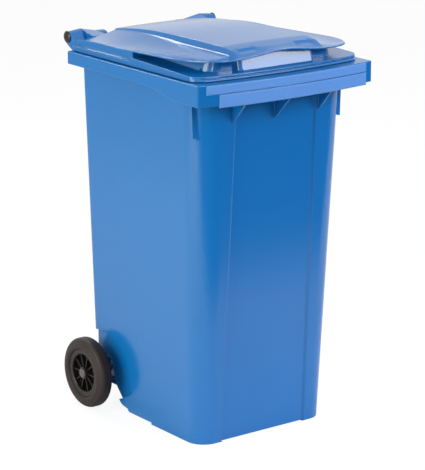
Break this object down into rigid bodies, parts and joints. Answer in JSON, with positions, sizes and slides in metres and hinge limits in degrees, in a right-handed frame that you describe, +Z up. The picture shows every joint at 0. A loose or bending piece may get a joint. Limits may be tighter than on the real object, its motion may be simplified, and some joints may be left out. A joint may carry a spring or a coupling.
{
  "type": "wheelie bin",
  "caption": "Tall two-wheeled refuse bin with tapered moulded tub, comb rim, hinged lid with raised spine and side grips, rear handle bar and rubber-tyred wheels.",
  "frame": {"origin": "on the ground under the middle of the overall box", "axes": "+Z up, -Y towards the front (comb) of the bin, +X to the right seen from the front"},
  "size_m": [0.58, 0.706, 1.09],
  "materials": {
    "tub_plastic": "satin-gloss moulded blue polyethylene",
    "lid_plastic": "satin-gloss moulded blue polyethylene",
    "pin_plastic": "black moulded plastic",
    "wheel_plastic": "black moulded plastic",
    "cap_plastic": "grey moulded plastic",
    "tyre": "satin solid rubber",
    "steel": "zinc-plated steel"
  },
  "bodies": {
    "bin": {"body": "tub_plastic", "axle": "steel", "hinge_pin_left": "pin_plastic", "hinge_pin_right": "pin_plastic", "axle_spacer_left": "wheel_plastic", "axle_spacer_right": "wheel_plastic"},
    "lid": {"lid": "lid_plastic"},
    "wheel_left": {"tyre_left": "tyre", "wheel_rim_left": "wheel_plastic", "hub_cap_left": "cap_plastic", "lock_plug_left": "wheel_plastic", "lock_spring_left": "steel"},
    "lock_left": {"lock_pin_left": "steel"},
    "wheel_right": {"tyre_right": "tyre", "wheel_rim_right": "wheel_plastic", "hub_cap_right": "cap_plastic", "lock_plug_right": "wheel_plastic", "lock_spring_right": "steel"},
    "lock_right": {"lock_pin_right": "steel"}
  },
  "joints": [
    {"name": "lid_hinge", "type": "hinge", "parent": "bin", "child": "lid", "pos_m": [0, 0.334, 1.042], "axis": [-1, 0, 0], "range_deg": [0, 270]},
    {"name": "wheel_left_spin", "type": "hinge", "parent": "bin", "child": "wheel_left", "pos_m": [-0.267, 0.229, 0.1], "axis": [1, 0, 0], "continuous": true},
    {"name": "lock_left_slide", "type": "slide", "parent": "wheel_left", "child": "lock_left", "axis": [0, 0, 1], "range_m": [0, 0.0026], "stiffness_N_per_m": 900, "springref_m": -0.002, "deforming": ["lock_spring_left"]},
    {"name": "wheel_right_spin", "type": "hinge", "parent": "bin", "child": "wheel_right", "pos_m": [0.267, 0.229, 0.1], "axis": [1, 0, 0], "continuous": true},
    {"name": "lock_right_slide", "type": "slide", "parent": "wheel_right", "child": "lock_right", "axis": [0, 0, 1], "range_m": [0, 0.0026], "stiffness_N_per_m": 900, "springref_m": -0.002, "deforming": ["lock_spring_right"]}
  ]
}
